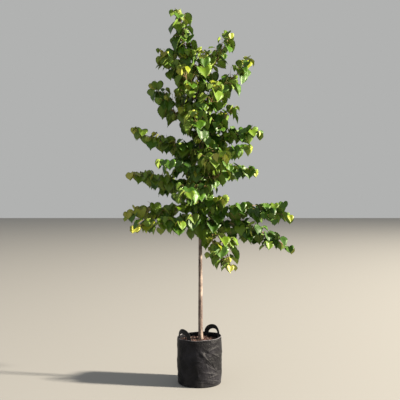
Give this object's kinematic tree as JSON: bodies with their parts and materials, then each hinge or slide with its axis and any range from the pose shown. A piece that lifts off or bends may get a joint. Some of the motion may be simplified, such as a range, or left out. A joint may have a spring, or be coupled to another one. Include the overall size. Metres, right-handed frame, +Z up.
{
  "type": "sapling in a handled nursery bag",
  "caption": "Young broadleaf tree with a slim straight trunk and tiered leafy shoots, standing in a round woven planting bag with two webbing handles.",
  "frame": {"origin": "centre of the planting bag's flat underside", "axes": "+Z up along the trunk, +X to the right seen from the front, the front of the tree facing -Y"},
  "size_m": [1.1395, 0.9422, 2.5367],
  "materials": {
    "bag_fabric": "woven plastic, satin black",
    "webbing": "coarse webbing, matt black",
    "growing_medium": "compost under bark chips, matt",
    "bark": "thin smooth bark, matt",
    "foliage": "soft leaves, satin"
  },
  "bodies": {
    "root": {"bough_left_1": "bark", "bough_left_2": "bark", "bough_left_3": "bark", "bough_left_4": "bark", "bough_left_5": "bark", "bough_left_6": "bark", "bough_low_front": "bark", "bough_right_1": "bark", "bough_right_2": "bark", "bough_right_3": "bark", "bough_right_4": "bark", "bough_right_6": "bark", "bough_right_7": "bark", "foliage_back_1": "foliage", "foliage_back_2": "foliage", "foliage_back_3": "foliage", "foliage_back_4": "foliage", "foliage_back_5": "foliage", "foliage_back_6": "foliage", "foliage_back_7": "foliage", "foliage_front_1": "foliage", "foliage_front_2": "foliage", "foliage_front_3": "foliage", "foliage_front_4": "foliage", "foliage_front_5": "foliage", "foliage_front_6": "foliage", "foliage_front_7": "foliage", "foliage_inner_1": "foliage", "foliage_inner_10": "foliage", "foliage_inner_11": "foliage", "foliage_inner_2": "foliage", "foliage_inner_3": "foliage", "foliage_inner_4": "foliage", "foliage_inner_5": "foliage", "foliage_inner_6": "foliage", "foliage_inner_7": "foliage", "foliage_inner_8": "foliage", "foliage_inner_9": "foliage", "foliage_leader": "foliage", "foliage_left_1": "foliage", "foliage_left_2": "foliage", "foliage_left_3": "foliage", "foliage_left_4": "foliage", "foliage_left_5": "foliage", "foliage_left_6": "foliage", "foliage_low_front": "foliage", "foliage_right_1": "foliage", "foliage_right_2": "foliage", "foliage_right_3": "foliage", "foliage_right_4": "foliage", "foliage_right_5": "foliage", "foliage_right_6": "foliage", "foliage_right_7": "foliage", "foliage_right_8": "foliage", "handle_back_right": "webbing", "handle_front_left": "webbing", "planting_bag": "bag_fabric", "soil": "growing_medium", "trunk": "bark"}
  },
  "joints": []
}
